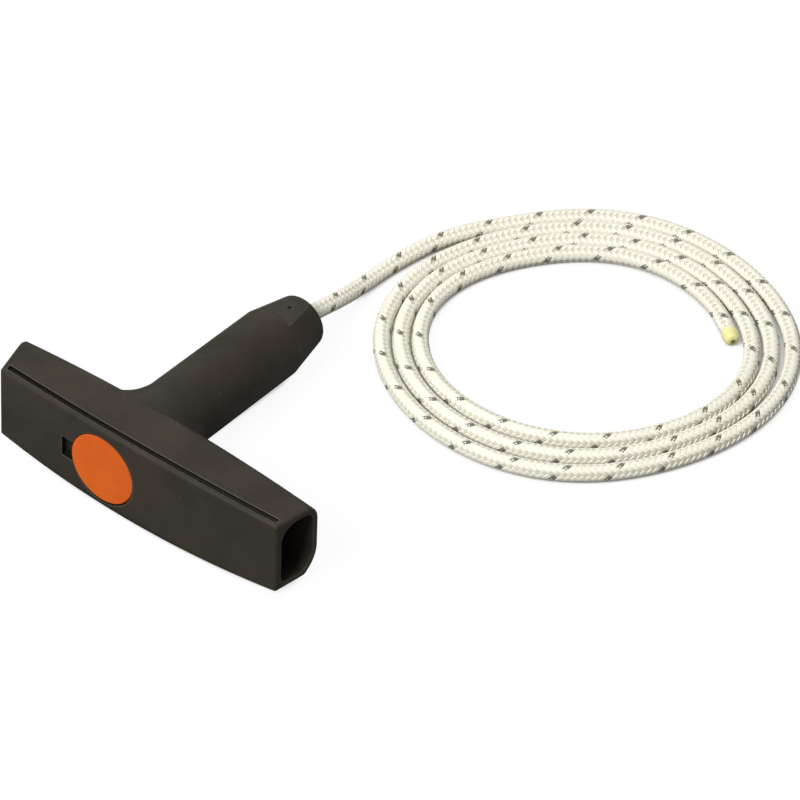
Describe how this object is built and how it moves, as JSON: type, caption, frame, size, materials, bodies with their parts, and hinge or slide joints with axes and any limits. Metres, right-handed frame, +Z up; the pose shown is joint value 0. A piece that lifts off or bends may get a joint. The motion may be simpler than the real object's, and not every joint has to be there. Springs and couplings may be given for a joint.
{
  "type": "recoil starter handle",
  "caption": "T-shaped moulded starter grip with hollow bar ends, a round front cap, a sprung rope seat inside its stem and its braided pull rope in a flat coil.",
  "frame": {"origin": "on the ground under the middle of the grip as it lies, without the rope", "axes": "+X along the crossbar towards its longer arm, +Y back along the stem as the rope leaves it, +Z up; the front of the crossbar looks along -Y"},
  "size_m": [0.1505, 0.175, 0.0254],
  "materials": {
    "grip_plastic": "satin black moulding with a fine texture",
    "cap_plastic": "satin orange moulding",
    "damper_rubber": "plain black rubber",
    "cup_plastic": "uncoloured moulding",
    "rope_cover": "braided polyamide, cream with pairs of grey tracer yarns"
  },
  "bodies": {
    "handle": {"grip_body": "grip_plastic", "front_cap": "cap_plastic", "damper": "damper_rubber"},
    "rope_line": {"thrust_cup": "cup_plastic", "rope_knot": "rope_cover", "rope_lead": "rope_cover", "rope_coil": "rope_cover"}
  },
  "joints": [
    {"name": "rope_pull", "type": "slide", "parent": "handle", "child": "rope_line", "axis": [0, 0.9991, -0.0427], "range_m": [0, 0.008], "stiffness_N_per_m": 3000, "deforming": ["damper"]}
  ]
}
